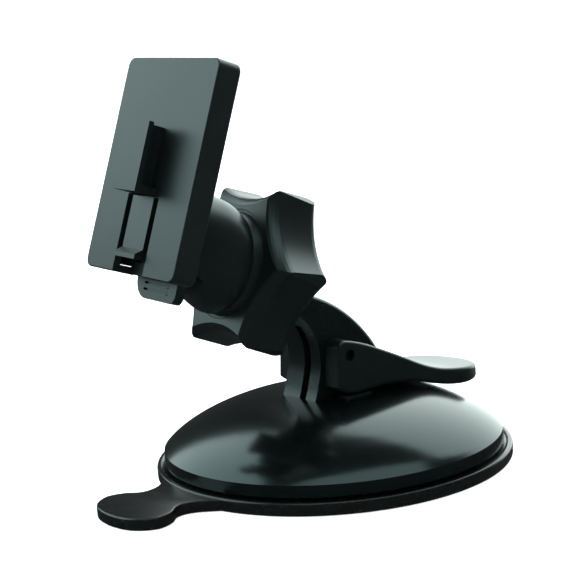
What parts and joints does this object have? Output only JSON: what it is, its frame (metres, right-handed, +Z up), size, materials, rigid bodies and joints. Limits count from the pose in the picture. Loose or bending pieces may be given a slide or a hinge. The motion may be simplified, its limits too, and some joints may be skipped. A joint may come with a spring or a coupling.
{
  "type": "car phone mount",
  "caption": "Suction-cup dashboard mount: lever-locked round base, short arched arm, ball joint with fluted clamp nut, and a quick-release plate for a phone cradle.",
  "frame": {"origin": "centre of the suction cup's flat underside, on the face that rests on the dashboard", "axes": "+Z up, away from the dashboard; -X towards the quick-release plate and the pull tab; +X along the locking lever; Y across"},
  "size_m": [0.1003, 0.0798, 0.093],
  "materials": {
    "front_plate": "injection-moulded black ABS, satin, faint green-grey sheen",
    "rear_cover": "injection-moulded black ABS, satin, faint green-grey sheen",
    "release_latch": "injection-moulded black ABS, satin, faint green-grey sheen",
    "latch_pin": "zinc-plated steel",
    "latch_spring": "nickel-plated spring wire",
    "cover_screws": "zinc-plated steel",
    "ball": "black glass-filled nylon",
    "ball_washer": "zinc-plated steel",
    "ball_screw": "zinc-plated steel",
    "seat_ring": "black glass-filled nylon",
    "clamp_nut": "injection-moulded black ABS, satin, faint green-grey sheen",
    "arm_bracket": "polished black ABS",
    "arm_screws": "zinc-plated steel",
    "lever": "injection-moulded black ABS, satin, faint green-grey sheen",
    "lever_pin": "black-oxide steel",
    "pull_stud": "black glass-filled nylon",
    "stud_spring": "nickel-plated spring wire",
    "cam_pads": "black glass-filled nylon",
    "dome_cover": "polished black ABS",
    "base_frame": "black glass-filled nylon",
    "frame_screws": "zinc-plated steel",
    "suction_cup": "black elastomer, semi-matte",
    "gel_pad": "tacky smoke-grey polyurethane gel"
  },
  "bodies": {
    "base": {"dome_cover": "dome_cover", "cam_pads": "cam_pads", "base_frame": "base_frame", "frame_screws": "frame_screws", "suction_cup": "suction_cup", "gel_pad": "gel_pad", "stud_spring": "stud_spring", "arm_bracket": "arm_bracket", "arm_screws": "arm_screws"},
    "stud": {"pull_stud": "pull_stud", "lever_pin": "lever_pin"},
    "lever": {"lever": "lever"},
    "nut": {"clamp_nut": "clamp_nut"},
    "ring": {"seat_ring": "seat_ring"},
    "ball": {"ball": "ball"},
    "plate": {"front_plate": "front_plate", "rear_cover": "rear_cover", "cover_screws": "cover_screws", "latch_pin": "latch_pin", "latch_spring": "latch_spring", "ball_screw": "ball_screw", "ball_washer": "ball_washer"},
    "latch": {"release_latch": "release_latch"}
  },
  "joints": [
    {"name": "stud_slide", "type": "slide", "parent": "base", "child": "stud", "axis": [0, 0, 1], "range_m": [-0.0025, 0], "deforming": ["stud_spring", "suction_cup", "gel_pad"]},
    {"name": "lever_swing", "type": "hinge", "parent": "stud", "child": "lever", "pos_m": [-0.0019, 0, 0.0257], "axis": [0, -1, 0], "range_deg": [0, 90]},
    {"name": "nut_turn", "type": "hinge", "parent": "base", "child": "nut", "pos_m": [-0.02421, 0, 0.04867], "axis": [-0.9321, 0, 0.3621], "range_deg": [0, 180]},
    {"name": "ring_turn", "type": "hinge", "parent": "base", "child": "ring", "pos_m": [-0.02235, 0, 0.04795], "axis": [-0.9321, 0, 0.3621], "continuous": true},
    {"name": "ball_tilt", "type": "hinge", "parent": "ring", "child": "ball", "pos_m": [-0.02235, 0, 0.04795], "axis": [0, 1, 0], "range_deg": [-8, 12]},
    {"name": "plate_turn", "type": "hinge", "parent": "ball", "child": "plate", "pos_m": [-0.02235, 0, 0.04795], "axis": [-0.9414, 0, 0.3374], "continuous": true},
    {"name": "latch_press", "type": "hinge", "parent": "plate", "child": "latch", "pos_m": [-0.04018, 0.00015, 0.06622], "axis": [0.0114, 0.9994, 0.0317], "range_deg": [0, 5.3], "stiffness_Nm_per_rad": 0.05, "springref_deg": -5.73, "deforming": ["latch_spring"]}
  ],
  "couplings": [
    {"joint": "stud_slide", "follows": "lever_swing", "m_per_rad": -0.0015915}
  ]
}
